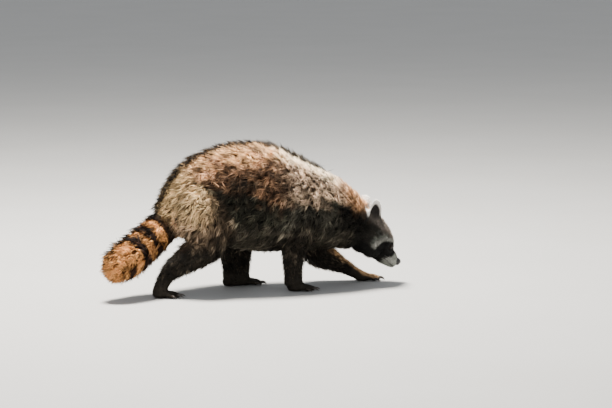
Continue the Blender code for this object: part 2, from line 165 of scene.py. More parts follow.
def without_claws(points, paw):
    """Pulls what sticks out beyond the toes back into them."""
    for end, way in toe_frames(paw):
        offset = points - end
        ahead = offset @ way
        beside = np.linalg.norm(offset - ahead[:, None] * way, axis=1)
        claw = (ahead > CLAW_FROM) & (beside < CLAW_WITHIN)
        points[claw] = end - PULLED_BACK * way
    return points


def gather():
    points, faces = [], []
    count = 0
    for name in FLESH:
        solid = NODES[name].data
        place = points_of(solid) + points_of(solid, "normal") * GROW
        if name in PAWS:
            place = without_claws(place, name)
        points.append(place)
        for polygon in solid.polygons:
            faces.append([count + v for v in polygon.vertices])
        count += len(place)
    mesh = bpy.data.meshes.new("skin")
    mesh.from_pydata(np.concatenate(points).tolist(), [], faces)
    return mesh


skin = bpy.data.objects.new("skin", gather())
bpy.context.scene.collection.objects.link(skin)
weld = bmesh.new()
weld.from_mesh(skin.data)
bmesh.ops.remove_doubles(weld, verts=weld.verts, dist=1e-6)
weld.to_mesh(skin.data)
weld.free()
print("gathered", len(skin.data.vertices), "points from", len(FLESH), "solids")

# %% [markdown]
# A voxel remesh fills space with small cubes and keeps the border between inside and outside, so it
# doesn't mind how the solids touch. It leaves small loose bits behind, and only the largest body is kept.

# %% Remesh
SKIN_VOXEL = 0.0025


def as_mesh(obj):
    depsgraph = bpy.context.evaluated_depsgraph_get()
    mesh = bpy.data.meshes.new_from_object(obj.evaluated_get(depsgraph))
    obj.modifiers.clear()
    obj.data = mesh


def keep_largest(mesh):
    """Deletes every loose body but the one with the most points."""
    bm = bmesh.new()
    bm.from_mesh(mesh)
    bm.verts.ensure_lookup_table()
    seen = np.zeros(len(bm.verts), bool)
    bodies = []
    for seed in bm.verts:
        if seen[seed.index]:
            continue
        seen[seed.index] = True
        stack, body = [seed], []
        while stack:
            v = stack.pop()
            body.append(v)
            for edge in v.link_edges:
                other = edge.other_vert(v)
                if not seen[other.index]:
                    seen[other.index] = True
                    stack.append(other)
        bodies.append(body)
    bodies.sort(key=len)
    for body in bodies[:-1]:
        bmesh.ops.delete(bm, geom=body, context="VERTS")
    bm.to_mesh(mesh)
    bm.free()
    return len(bodies)


remesh = skin.modifiers.new("one body", "REMESH")
remesh.mode = "VOXEL"
remesh.voxel_size = SKIN_VOXEL
as_mesh(skin)
bodies = keep_largest(skin.data)
print("bodies after the remesh:", bodies, "points:", len(skin.data.vertices))

# %% [markdown]
# The remesh also leaves steps as fine as a voxel. Each point is moved towards the middle of its
# neighbours a few times, which takes the steps out. The same net of neighbours later smooths everything
# else that lies on the skin.

# %% Smooth
class Net:
    """A mesh's points with their neighbours, for smoothing values over its surface."""

    def __init__(self, mesh):
        edges = np.zeros(len(mesh.edges) * 2, np.int64)
        mesh.edges.foreach_get("vertices", edges)
        edges = edges.reshape(-1, 2)
        self.a = np.concatenate([edges[:, 0], edges[:, 1]])
        self.b = np.concatenate([edges[:, 1], edges[:, 0]])
        self.count = len(mesh.vertices)
        self.degree = np.maximum(np.bincount(self.a, minlength=self.count), 1)

    def smooth(self, values, rounds, share=0.6):
        values = np.array(values, float)
        flat = values.reshape(self.count, -1)
        for _ in range(rounds):
            for column in range(flat.shape[1]):
                around = np.bincount(self.a, flat[self.b, column], minlength=self.count) / self.degree
                flat[:, column] += share * (around - flat[:, column])
        return values


net = Net(skin.data)
outer = net.smooth(points_of(skin.data), 3)
skin.data.vertices.foreach_set("co", outer.ravel())
skin.data.update()
outer_normals = net.smooth(points_of(skin.data, "normal"), 4)
outer_normals /= np.linalg.norm(outer_normals, axis=1)[:, None]
print("outer skin from", outer.min(0).round(3), "to", outer.max(0).round(3))

# %% [markdown]
# ## Which part is where
# Coat depth, the lie of the hair and the markings all change from part to part. Each point of the skin
# first takes the name of the nearest solid, and then those shares are spread over the surface, so that
# one part's coat passes gently into the next.

# %% Part shares
def finder(points):
    """A quick search: for each of many places, the number of the nearest of these points."""
    tree = KDTree(len(points))
    for number, place in enumerate(points):
        tree.insert(place, number)
    tree.balance()
    return lambda places: np.array([tree.find(place)[1] for place in places])


solid_points = [points_of(NODES[name].data) for name in FLESH]
solid_of_point = np.repeat(np.arange(len(FLESH)), [len(points) for points in solid_points])
part = solid_of_point[finder(np.concatenate(solid_points))(outer)]
share_of = np.zeros((len(outer), len(FLESH)))
share_of[np.arange(len(outer)), part] = 1.0
share_of = net.smooth(share_of, 14)


def over_solids(values):
    """A table over all solids from one by kind, where "ear" stands for both ears."""
    return {name: values.get(name, values.get(name.rsplit("_", 1)[0])) for name in FLESH}


def mix_over_parts(table):
    """Blends one value or vector for each part over the skin."""
    values = np.array([table[name] for name in FLESH], float)
    return share_of @ values


def share(*names):
    return sum(share_of[:, FLESH.index(name)] for name in names)


print("part shares over", len(outer), "points")

# %% [markdown]
# ## Coat depth
# A raccoon's coat stands deep over the back, haunches and tail and is short on the face, lower legs and
# paws. The skin is drawn in by that depth. The depth is smoothed far more than the part shares, since a
# step in the skin would show as a crease in the hair.

# %% Draw the skin in by the coat's depth
COAT_DEPTH = over_solids({
    "trunk": 0.0150, "neck": 0.0125, "head": 0.0034, "lower_jaw": 0.0022, "ear": 0.0007,
    "upper_arm": 0.0100, "forearm": 0.0045, "fore_paw": 0.0009, "thigh": 0.0130, "shin": 0.0055,
    "hind_paw": 0.0009, "tail_1": 0.0125, "tail_2": 0.0150, "tail_3": 0.0160, "tail_4": 0.0155,
    "tail_5": 0.0125})
BARE_DEPTH = 0.0007  # round the eyes and the nose, on the ears and the paws
LEAST_DEPTH = 0.0008  # what the hair's length is reckoned from where the coat is barest
BARE_RADII = {"eye_left": (0.009, 0.022), "eye_right": (0.009, 0.022), "nose": (0.012, 0.045)}
LOWEST_SKIN = 0.0004  # above the floor


def step(value, low, high):
    """0 below low, 1 above high, and an even rise between."""
    t = np.clip((value - low) / (high - low), 0, 1)
    return t * t * (3 - 2 * t)


def distance(points, place):
    return np.linalg.norm(points - place, axis=1)


thin = share("ear_left", "ear_right") + share(*PAWS)
for node, (near, far) in BARE_RADII.items():
    thin = thin + 1 - step(distance(outer, middle(node)), near, far)
thin = np.clip(thin, 0, 1)
depth = net.smooth(mix_over_parts(COAT_DEPTH), 25)
depth = depth * (1 - thin) + BARE_DEPTH * thin
inner = outer - outer_normals * (depth + GROW)[:, None]
kept = np.clip(thin + share("head", "lower_jaw"), 0, 1)[:, None]
inner = net.smooth(inner, 6) * (1 - kept) + inner * kept
inner[:, 2] = np.maximum(inner[:, 2], LOWEST_SKIN)
skin.data.vertices.foreach_set("co", inner.ravel())
skin.data.update()
skin.data.shade_smooth()
depth = np.maximum(np.einsum("ij,ij->i", outer - inner, outer_normals), LEAST_DEPTH)
print("coat depth from", round(float(depth.min()), 4), "to", round(float(depth.max()), 4))

# %% [markdown]
# ## The lie of the coat
# Hair lies from the nose back over the head and body to the tail, down the flanks and down each limb to
# the toes. One way is given for each part, worked out from the frame where it can be, and spread over
# the skin like the shares. Over the flanks it turns downwards as the body curves away from the back.

# %% Lie of the hair
def way(start, end):
    offset = np.array(end, float) - np.array(start, float)
    return offset / np.linalg.norm(offset)


BACKWARDS = np.array([-1.0, 0.0, 0.0])
DOWN = np.array([0.0, 0.0, -1.0])
LIE = {
    "trunk": way((0, 0, 0), (-1.0, 0, -0.12)), "neck": way((0, 0, 0), (-1.0, 0, 0.22)),
    "head": -MUZZLE_WAY, "lower_jaw": -MUZZLE_WAY}
for side in ("left", "right"):
    LIE[f"ear_{side}"] = way(middle("head"), middle(f"ear_{side}"))
    for upper, lower, paw in (("upper_arm", "forearm", "fore_paw"), ("thigh", "shin", "hind_paw")):
        hip, knee, foot = (middle(f"{piece}_{side}") for piece in (upper, lower, paw))
        LIE[f"{upper}_{side}"] = way((0, 0, 0), way(hip, knee) + 0.35 * BACKWARDS)
        LIE[f"{lower}_{side}"] = way(knee, foot)
        LIE[f"{paw}_{side}"] = way((0, 0, 0), (1.0, 0, -0.25))
for name in TAIL_NODES:
    LIE[name] = along_tail(middle(name)[None])[1][0]

lie = mix_over_parts(LIE)
sideways = np.abs(outer_normals[:, 1])
body_share = np.clip(share("trunk", "neck", "thigh_right", "thigh_left"), 0, 1)
lie += (0.75 * body_share * sideways**2)[:, None] * DOWN
tail_share = np.clip(share(*TAIL_NODES), 0, 1)
lie = lie * (1 - tail_share[:, None]) + along_tail(outer)[1] * tail_share[:, None]
lie = net.smooth(lie, 10)
print("mean lie over the skin:", lie.mean(0).round(2))

# %% [markdown]
# ## Markings
# The colours belong to places on the animal: a black mask with pale brows, a pale muzzle with a dark
# bridge, white-rimmed ears, a warm tan back, a darker grizzled flank, near-black feet and dark rings
# round the tail. Light and shade are painted into some of them as well: the ridge of the back, the
# shoulders, the rump and the left foreleg's front are painted brighter as sunlight, and the flanks,
# belly, jaw, ear hollows, the tail's underside and the side of the face darker as painted shade. A
# function of the place gives the colour, and the skin and every lock ask the same function, so the two
# can't disagree. Colours are written as a painter would mix them, in the usual display values, and
# turned into light values once.

# %% Colours
def light_value(*display):
    """A colour of 0 to 255 display values as linear light."""
    value = np.array(display) / 255
    return np.where(value < 0.04045, value / 12.92, ((value + 0.055) / 1.055) ** 2.4)


# painted sunlight: the ridge of the back painted cream
SUNLIT_BACK_CREAM = light_value(242, 192, 138)
BACK_TAN = light_value(196, 150, 112)
BACK_BROWN = light_value(72, 52, 38)
# the rump's fur lightened to cream as painted sunlight
SUNLIT_RUMP_CREAM = light_value(255, 218, 160)
# painted sunlight on the ridge of the shoulders
SUNLIT_SHOULDER_PALE = light_value(252, 232, 200)
SHOULDER_TAN = light_value(228, 200, 170)
NAPE_TAN = light_value(182, 140, 102)
# the flank's grizzled grey, and the front flank's below, darkened as painted shade
SHADED_FLANK_GREY = light_value(37, 36, 29)
SHADED_FRONT_LOCK_GREY = light_value(52, 50, 43)
# the underside darkened as painted shade
SHADED_BELLY_DARK = light_value(54, 50, 42)
NECK_DARK = light_value(24, 22, 18)
THIGH_DARK = light_value(52, 44, 35)
THIGH_BUFF = light_value(164, 138, 112)
LEG_DARK = light_value(42, 37, 30)
# painted sunlight on the left foreleg's up-facing front
SUNLIT_FORELEG_TAN = light_value(172, 138, 100)
TAIL_TAN = light_value(232, 166, 100)
TAIL_RING = light_value(34, 21, 14)
MASK_BLACK = light_value(9, 8, 8)
# the brow's and cheek's pale fur dimmed to grey as painted shade
SHADED_BROW_WHITE = light_value(152, 151, 143)
SHADED_CHEEK_GREY = light_value(110, 112, 104)
FOREHEAD_GREY = light_value(122, 113, 104)
FACE_DARK = light_value(44, 41, 36)
# the muzzle's pale fur dimmed to grey as painted shade
SHADED_MUZZLE_WHITE = light_value(146, 148, 139)
BRIDGE_DARK = light_value(52, 44, 40)
# the jaw's underside painted near black as painted shade
SHADED_JAW_DARK = light_value(20, 19, 17)
# the ear's hollow painted near black as painted shade
SHADED_EAR_INSIDE = light_value(28, 24, 22)
EAR_BACK = light_value(150, 138, 126)
EAR_RIM = light_value(232, 226, 218)


def band(value, low, high, soft):
    """1 from low to high and 0 beyond, with soft borders."""
    return step(value, low - soft, low + soft) * (1 - step(value, high - soft, high + soft))


def paint(base, colour, amount):
    """Covers a base colour by an amount from 0 to 1."""
    amount = np.clip(amount, 0, 1)[:, None]
    return base * (1 - amount) + colour * amount


def layered(points, base, *layers):
    """A base colour at every point, with layers of (colour, amount) painted over it in turn."""
    colour = np.tile(base, (len(points), 1))
    for over, amount in layers:
        colour = paint(colour, over, amount)
    return colour


print("the mask's black in light values:", MASK_BLACK.round(4))

# %% [markdown]
# The mask is laid out on the head's own axes, as an oval that slants from the bridge through the eye to
# the cheek. Everything just outside it is pale: the brow above, the cheek behind and the muzzle in front,
# though their pale fur is dimmed to grey as painted shade on the side of the face.

# %% Face markings
MASK_MIDDLE = (0.047, 0.0005)  # behind and above the nose
MASK_SLANT = math.radians(-36)
MASK_LONG = 0.029
MASK_SHORT = 0.0195
CHEEK_MIDDLE = (0.071, 0.003)
CHEEK_RADII = (0.021, 0.025)


def mask_ring(behind, above):
    """Below 1 inside the mask, 1 on its edge."""
    x, y = behind - MASK_MIDDLE[0], above - MASK_MIDDLE[1]
    along = x * math.cos(MASK_SLANT) + y * math.sin(MASK_SLANT)
    across = -x * math.sin(MASK_SLANT) + y * math.cos(MASK_SLANT)
    return np.hypot(along / MASK_LONG, across / MASK_SHORT), across


def face_colour(points):
    behind, above, beside = head_place(points)
    beside = np.abs(beside)
    ring, across = mask_ring(behind, above)
    cheek = np.hypot((behind - CHEEK_MIDDLE[0]) / CHEEK_RADII[0], (above - CHEEK_MIDDLE[1]) / CHEEK_RADII[1])
    pale_brow = (1 - step(ring, 1.25, 1.62)) * step(across, 0.0, 0.010) * step(behind, 0.034, 0.050)
    top = step(above, 0.006, 0.014) * (1 - step(beside, 0.0065, 0.0105))
    chin = 1 - step(above, -0.020, -0.012)
    lips = band(above, -0.0158, -0.0128, 0.0012) * (1 - step(behind, 0.055, 0.068))
    return layered(
        points, FACE_DARK,
        (FOREHEAD_GREY, step(above + 0.004 * drift(points, 0.006, 11), 0.020, 0.036)),
        (NAPE_TAN, step(behind, 0.118, 0.140) * step(above, 0.024, 0.044)),
        # painted shade: the cheek, muzzle and brow are pale fur dimmed to grey
        (SHADED_CHEEK_GREY, 1 - step(cheek + 0.25 * drift(points, 0.004, 12), 0.65, 1.15)),
        (NECK_DARK, step(behind, 0.100, 0.118) * (1 - step(above, 0.010, 0.035))),
        (SHADED_MUZZLE_WHITE, 1 - step(behind, 0.030, 0.042)),
        (SHADED_BROW_WHITE, pale_brow),
        (MASK_BLACK, (1 - step(ring, 0.92, 1.14)) * step(beside, 0.002, 0.010)),
        (BRIDGE_DARK, top * (1 - step(behind, 0.086, 0.105))),
        # painted shade under the jaw
        (SHADED_JAW_DARK, chin * step(behind, 0.022, 0.042) * (1 - step(behind, 0.100, 0.120))),
        (MASK_BLACK, 0.85 * lips))


print("the mask is", 2 * MASK_LONG, "long and", 2 * MASK_SHORT, "high")

# %% [markdown]
# The ears are cupped leaves with a bright rim, and the hollow inside is painted near black as painted
# shade. The rim is where the leaf's edge is near, so the colour asks how far a point lies from the middle
# line of its own ear, as a share of the ear's half width.

# %% Ear markings
EAR_FACING = np.array([0.42, 0.90, 0.10])  # the left ear's open side; the right ear mirrors it
EAR_HALF_WIDTH = 0.0195
EAR_ROOT_PLACE = (0.111, 0.036, 0.029)  # behind, beside and above the nose tip
EAR_TIP_PLACE = (0.139, 0.041, 0.068)


def ear_axes(side):
    sign = 1 if side == "left" else -1
    tip_of_nose = NOSE_AT + 0.0035 * MUZZLE_WAY
    root, tip = (
        tip_of_nose - behind * MUZZLE_WAY + above * CROWN_WAY + np.array([0, sign * beside, 0])
        for behind, beside, above in (EAR_ROOT_PLACE, EAR_TIP_PLACE))
    up = tip - root
    across = np.cross(up, EAR_FACING * (1, sign, 1))
    across /= np.linalg.norm(across)
    facing = np.cross(across, up)
    return root, up, across, facing / np.linalg.norm(facing)


def ear_place(points, side):
    """Height up the ear from 0 to 1, and how near its edge from 0 to 1."""
    root, up, across, _ = ear_axes(side)
    offset = points - root
    high = offset @ up / (up @ up)
    rounding = np.clip((high - 0.35) / 0.68, 0, 1)
    half = EAR_HALF_WIDTH * np.sqrt(np.clip(1 - rounding**2, 0.04, 1))
    return high, np.abs(offset @ across) / half


def ear_colour(points, normals, side):
    high, edge = ear_place(points, side)
    turned_in = normals @ ear_axes(side)[3]
    behind = step(-turned_in, -0.1, 0.3)
    from_centre = np.hypot(edge, np.clip((high - 0.40) / 0.55, 0, 1))
    rim = band(from_centre, 0.72 - 0.14 * behind, 1.70, 0.08) * (1 - step(edge, 1.02, 1.20))
    # the inside of the cup painted near black as painted shade
    return layered(
        points, EAR_BACK, (SHADED_EAR_INSIDE, step(turned_in, 0.0, 0.3)), (EAR_RIM, rim * step(high, 0.20, 0.40)))


print("an ear is", round(float(np.linalg.norm(ear_axes("left")[1])), 4), "high")

# %% [markdown]
# The body's colour goes by how far up it faces and how high it lies, the tail's by the distance down its
# axis, and the legs' by their height. Those steps are partly the coat's own colours and partly painted
# light: the ridge and the rump are painted brighter as sunlight, the flank and belly darker as painted
# shade, and the tail's underside darker as painted shade. A slow wave over the body keeps every border
# from being a clean line.

# %% Body and tail markings
RING_PLACES = ((0.026, 0.052), (0.072, 0.096), (0.115, 0.141), (0.160, 0.186))  # down the tail


def drift(points, scale, seed):
    """A slow, smooth, repeatable wave over space, from -1 to 1."""
    local = np.random.default_rng(seed)
    total = np.zeros(len(points))
    for _ in range(5):
        direction = local.normal(size=3)
        direction *= local.uniform(0.6, 1.6) / scale
        total += np.sin(points @ direction + local.uniform(0, 6.28))
    return total / 3.0


def mottle(points, seed):
    """Dark flecks about two centimetres apart."""
    return step(drift(points, 0.0042, seed) + 0.6 * drift(points, 0.010, seed + 1), 0.25, 1.15)


def tail_colour(points, normals):
    run = along_tail(points)[0] + 0.0025 * drift(points, 0.010, 3)
    rings = []
    for start, end in RING_PLACES:
        low_side = step(-normals[:, 2], -0.35, 0.35) if start > 0.15 else np.ones(len(points))
        rings.append((TAIL_RING, band(run, start, end, 0.0035) * low_side))
    # the underside painted dark as painted shade, less towards the end
    shaded_underside = step(-normals[:, 2], 0.0, 0.7) * (1 - 0.6 * step(run, 0.13, 0.17))
    return layered(
        points, TAIL_TAN, (BACK_BROWN, 0.6 * mottle(points, 51)), (SUNLIT_RUMP_CREAM, 1 - step(run, 0.0, 0.03)),
        *rings, (TAIL_RING, 0.85 * shaded_underside))


def body_colour(points, normals):
    x, _, z = points.T
    # the bands by how far up a point faces are partly painted light: sunlit cream on the ridge, a
    # half-shaded brown band below it and painted shade on the flank
    facing_up = normals[:, 2] + 0.17 * drift(points, 0.030, 5) + 0.16 * drift(points, 0.011, 9)
    rump, front, neck = 1 - step(x, -0.19, -0.11), step(x, 0.02, 0.09), step(x, 0.165, 0.215)
    ridge = layered(points, SUNLIT_BACK_CREAM, (SUNLIT_SHOULDER_PALE, front))
    back = layered(points, BACK_TAN, (SHOULDER_TAN, front), (NAPE_TAN, neck))
    dark_back = paint(back, BACK_BROWN, 0.9 * (1 - neck) * (1 - 0.35 * front))
    flecks = 0.6 * mottle(points, 31) * step(facing_up, -0.2, 0.3)
    return layered(
        # the flank's own grey, darkened as painted shade
        points, SHADED_FLANK_GREY,
        (SHADED_FRONT_LOCK_GREY, front),
        (NECK_DARK, step(x, 0.150, 0.190)),
        (THIGH_BUFF, 1 - step(x, -0.17, -0.12)),
        (dark_back, step(facing_up, -0.02, 0.42)),
        (back, step(facing_up, 0.48, 0.88)),
        (ridge, step(facing_up, 0.68, 0.96) * (1 - neck)),
        # painted sunlight on the rump
        (SUNLIT_RUMP_CREAM, rump * step(z, 0.13, 0.17)),
        (BACK_BROWN, flecks * (1 - 0.5 * front) * (1 - 0.45 * rump)),
        (NECK_DARK, step(x, 0.205, 0.230) * (1 - step(z, 0.130, 0.146))),
        # painted shade on the downward-facing belly
        (SHADED_BELLY_DARK, 1 - step(facing_up, -0.75, -0.25)))


print("rings down the tail, in metres:", RING_PLACES)

# %% [markdown]
# The limbs begin in the body's colour and end near black. The share of each part, already spread over
# the skin, decides how much each function counts.

# %% Paint the skin
def hind_leg_colour(points, side):
    z = points[:, 2]
    forward = step(points[:, 0] - middle(f"thigh_{side}")[0], -0.035, 0.030)
    upper = layered(
        points, THIGH_BUFF,
        (THIGH_DARK, 0.85 * forward),
        # painted sunlight on the top of the haunch
        (SUNLIT_RUMP_CREAM, 0.7 * step(z, 0.13, 0.18) * (1 - forward)),
        (THIGH_DARK, 0.75 * mottle(points, 41)))
    return layered(points, LEG_DARK, (upper, step(z, 0.085, 0.150) * 0.85))


def foreleg_colour(points, normals, side):
    z = points[:, 2]
    # the left foreleg is on the key lamp's side: its up-facing front is painted tan as painted sunlight
    lit = 1.0 if side == "left" else 0.0  # only the left foreleg is tan in front
    return layered(
        points, LEG_DARK,
        (SHADED_FRONT_LOCK_GREY, step(z, 0.085, 0.150) * 0.45),
        (SUNLIT_FORELEG_TAN, lit * step(normals[:, 2], 0.15, 0.6) * (1 - step(z, 0.07, 0.10))))


def coat_colour():
    points, normals = outer, outer_normals
    total = np.zeros((len(points), 3))
    weight = np.zeros(len(points))
    groups = [
        (share("trunk", "neck"), body_colour(points, normals)),
        (share("head", "lower_jaw"), face_colour(points)),
        (share(*TAIL_NODES), tail_colour(points, normals))]
    for side in ("left", "right"):
        hind = share(f"thigh_{side}", f"shin_{side}", f"hind_paw_{side}")
        fore = share(f"upper_arm_{side}", f"forearm_{side}", f"fore_paw_{side}")
        groups += [
            (share(f"ear_{side}"), ear_colour(points, normals, side)),
            (hind, hind_leg_colour(points, side)),
            (fore, foreleg_colour(points, normals, side))]
    for amount, colour in groups:
        total += amount[:, None] * colour
        weight += amount
    return total / np.maximum(weight, 1e-6)[:, None]


skin_colour = coat_colour()


def set_colours(mesh, colours, name="coat_colour"):
    attribute = mesh.color_attributes.new(name, "FLOAT_COLOR", "POINT")
    rgba = np.concatenate([colours, np.ones((len(colours), 1))], axis=1)
    attribute.data.foreach_set("color", rgba.astype(np.float32).ravel())


UNDERCOAT = 0.33  # the skin shows between the locks as their shaded roots
bare = np.clip(thin + 0.5 * share("head", "lower_jaw"), 0, 1)[:, None]
set_colours(skin.data, skin_colour * (UNDERCOAT + (0.85 - UNDERCOAT) * bare))
print("mean coat colour in light values:", skin_colour.mean(0).round(3))

# %% [markdown]
# ## Unwrapping the skin
# Colours that live in a shader have to be written to a picture when the model is exported, and that
# needs a flat layout of the surface. Blender's Smart UV Project cuts the skin into patches by the way
# they face. Each lock later takes the place of its root in this same layout.

# %% Unwrap
UV_NAME = "OFBake"


def unwrap(obj):
    bpy.ops.object.select_all(action="DESELECT")
    obj.select_set(True)
    bpy.context.view_layer.objects.active = obj
    obj.data.uv_layers.new(name=UV_NAME)
    bpy.ops.object.mode_set(mode="EDIT")
    bpy.ops.mesh.select_all(action="SELECT")
    bpy.ops.uv.smart_project(angle_limit=math.radians(66), island_margin=0.002)
    bpy.ops.object.mode_set(mode="OBJECT")


unwrap(skin)
skin.data.calc_loop_triangles()
triangles = np.zeros(len(skin.data.loop_triangles) * 3, np.int64)
skin.data.loop_triangles.foreach_get("vertices", triangles)
triangles = triangles.reshape(-1, 3)
corners = np.zeros(len(skin.data.loop_triangles) * 3, np.int64)
skin.data.loop_triangles.foreach_get("loops", corners)
layout = np.zeros(len(skin.data.loops) * 2)
skin.data.uv_layers[UV_NAME].data.foreach_get("uv", layout)
corner_layout = layout.reshape(-1, 2)[corners].reshape(-1, 3, 2)
print("skin triangles:", len(triangles), "layout from", layout.min().round(3), "to", layout.max().round(3))

# %% [markdown]
# ## Where the locks grow
# Roots are drawn at random over the skin's triangles, with a chance that follows each triangle's area
# and how densely that part is covered. Short coats need more and smaller locks than long ones. The
# random numbers start from a fixed seed, so the coat is the same each time.

# %% Roots
PER_SQUARE_CM = over_solids({  # how many locks, against the other parts
    "trunk": 27, "neck": 32, "head": 62, "lower_jaw": 62, "ear": 60, "upper_arm": 30, "forearm": 40,
    "fore_paw": 50, "thigh": 28, "shin": 38, "hind_paw": 50, "tail_1": 34, "tail_2": 38, "tail_3": 38,
    "tail_4": 38, "tail_5": 42})
LONG_LOCKS = 75000
SHORT_LOCKS = 52000

density = mix_over_parts(PER_SQUARE_CM)
edge_a = inner[triangles[:, 1]] - inner[triangles[:, 0]]
edge_b = inner[triangles[:, 2]] - inner[triangles[:, 0]]
area = np.linalg.norm(np.cross(edge_a, edge_b), axis=1) / 2


def draw_roots(count, weight):
    """Random places on the skin: a triangle each, and the three corner shares in it."""
    chance = weight / weight.sum()
    triangle = np.sort(rng.choice(len(triangles), count, p=chance))
    u, v = rng.random(count), rng.random(count)
    over = u + v > 1
    u[over], v[over] = 1 - u[over], 1 - v[over]
    return triangle, np.stack([1 - u - v, u, v], axis=1)


def at_roots(values, triangle, corner_share):
    """A value of the skin's points, read at the roots."""
    picked = values[triangles[triangle]]
    if values.ndim == 1:
        return (picked * corner_share).sum(1)
    return (picked * corner_share[:, :, None]).sum(1)


def unit(vectors):
    return vectors / np.maximum(np.linalg.norm(vectors, axis=1), 1e-9)[:, None]


weight = area * 1e4 * density[triangles].mean(1)
print("skin area", round(float(area.sum()), 3), "square metres; locks by the table:", int(weight.sum()))

# %% [markdown]
# ## One lock of hair
# A lock is a thin three-sided spike that leaves the skin, bends over to the lie of the coat and comes to
# a point. A long one has a ring at the root, a ring halfway and a tip, which makes ten triangles. A short
# one goes straight from root to tip and needs only four. Every lock of a kind has the same faces and the
# same layout of its own patch, so both are worked out once.

# %% The faces of a lock
RING_SIDES = 3
BAKE_PATCH = 0.003
LONG, SHORT = 2, 1  # rings in a lock
RING_LEVELS = {LONG: (0.1, 0.6), SHORT: (0.1,)}  # how high each ring lies in the lock's patch


def lock_faces(rings):
    """The triangles of a lock, as numbers of its points: the root's end, the sides and the point."""
    faces = [(2, 1, 0)]
    for k in range(RING_SIDES):
        a, b = k, (k + 1) % RING_SIDES
        for ring in range(rings - 1):
            low, high = ring * RING_SIDES, (ring + 1) * RING_SIDES
            faces += [(low + a, low + b, high + b), (low + a, high + b, high + a)]
        top = (rings - 1) * RING_SIDES
        faces.append((top + a, top + b, rings * RING_SIDES))
    return np.array(faces)


def lock_layout(rings):
    """Each corner's place in the lock's own patch of the layout: sides next to each other, tip up."""
    levels = RING_LEVELS[rings]
    places = [[(0.0, 0.0), (0.5, 0.1), (1.0, 0.0)]]
    for k in range(RING_SIDES):
        left, right = k / RING_SIDES, (k + 1) / RING_SIDES
        for low, high in zip(levels, levels[1:]):
            places.append([(left, low), (right, low), (right, high)])
            places.append([(left, low), (right, high), (left, high)])
        places.append([(left, levels[-1]), (right, levels[-1]), ((left + right) / 2, 1.0)])
    return np.array(places)


print("triangles in a long lock:", len(lock_faces(LONG)), "and in a short one:", len(lock_faces(SHORT)))

# %% [markdown]
# The points come next. A lock could be bent with a curve and a bevel, but a hundred thousand curves would
# be far too slow, so the points of all locks are worked out together as arrays.

# %% The shape of a lock
IN_THE_SKIN = 0.0006  # how deep a root is set, so that no lock floats
FLATNESS = 0.55
BEND_AT = (0.80, 0.30)  # the bend's height and reach, as shares of the tip's
LEAST_REACH = 0.2  # of the squared length, for locks that stand up
WIDTH_AT_ROOT, WIDTH_HALFWAY = 0.40, 0.50  # half widths, as shares of a lock's width


def ring_points(centre, along, normal, width):
    """A flattened triangle of points across a lock, its flat side towards the skin."""
    side = unit(np.cross(along, normal))
    up = np.cross(side, along)
    points = []
    for k in range(RING_SIDES):
        angle = 2 * math.pi * (k / RING_SIDES + 0.25)
        spread = math.cos(angle) * side + FLATNESS * math.sin(angle) * up
        points.append(centre + spread * width[:, None])
    return points


def lock_shapes(rings, root, normal, lie_way, length, height, width, lean):
    """The points of many locks. lean shifts each tip sideways, which draws locks into clumps."""
    flat = unit(lie_way - np.einsum("ij,ij->i", lie_way, normal)[:, None] * normal)
    reach = np.sqrt(np.maximum(length**2 - height**2, LEAST_REACH * length**2))
    start = root - normal * IN_THE_SKIN
    bend = root + normal * (BEND_AT[0] * height)[:, None] + flat * (BEND_AT[1] * reach)[:, None]
    tip = root + normal * height[:, None] + flat * reach[:, None] + lean
    points = ring_points(start, unit(bend - start), normal, WIDTH_AT_ROOT * width)
    if rings == LONG:
        mid = 0.25 * start + 0.5 * bend + 0.25 * tip
        points += ring_points(mid, unit(tip - start), normal, WIDTH_HALFWAY * width)
    return np.stack(points + [tip], axis=1)


print("a ring has", RING_SIDES, "points")

# %% [markdown]
# Blender can fill a mesh from whole arrays at once. The corners of each lock's layout are set round the
# place of its root on the skin's layout, so a baked picture gives it the colour of that place.

# %% Locks to a mesh
def mesh_of_locks(name, batch, chosen):
    """One mesh of the chosen locks, with their colours and their bake layout."""
    points, colours, layout_at = (batch[key][chosen] for key in ("points", "colours", "layout"))
    count, size, _ = points.shape
    faces = lock_faces(batch["rings"])
    faces = (faces[None] + (np.arange(count) * size)[:, None, None]).reshape(-1, 3)
    mesh = bpy.data.meshes.new(name)
    mesh.vertices.add(count * size)
    mesh.vertices.foreach_set("co", points.astype(np.float32).ravel())
    mesh.loops.add(faces.size)
    mesh.loops.foreach_set("vertex_index", faces.astype(np.int32).ravel())
    mesh.polygons.add(len(faces))
    mesh.polygons.foreach_set("loop_start", np.arange(0, faces.size, 3, dtype=np.int32))
    mesh.update(calc_edges=True)
    mesh.shade_smooth()
    set_colours(mesh, colours.reshape(-1, 3))
    corner = layout_at[:, None, None, :] + (lock_layout(batch["rings"]) - 0.5)[None] * BAKE_PATCH
    corner = np.clip(corner, 0.0, 1.0)
    mesh.uv_layers.new(name=UV_NAME).data.foreach_set("uv", corner.astype(np.float32).ravel())
    obj = bpy.data.objects.new(name, mesh)
    bpy.context.scene.collection.objects.link(obj)
    return obj


print("each lock's patch in the layout is", BAKE_PATCH, "across")

# %% [markdown]
# ## Clumps and shades
# Real hair gathers in wisps: neighbours lean together, and one wisp is lighter than the next. A thinned
# set of the roots serves as wisp middles. Each lock leans towards its wisp's middle and shares part of
# its shade. On top of that, every lock has a little shade of its own, a dark root and a pale band.

# %% Wisps
WISP_LOCKS = 9  # locks in one wisp, on average
TUFT_LOCKS = 55  # locks in one of the larger tufts that wisps gather into


def wisps(root, size):
    """The wisp that each root belongs to, the middle of that wisp, and the number of wisps."""
    middles = root[rng.choice(len(root), len(root) // size, replace=False)]
    owner = finder(middles)(root)
    return owner, middles[owner], len(middles)


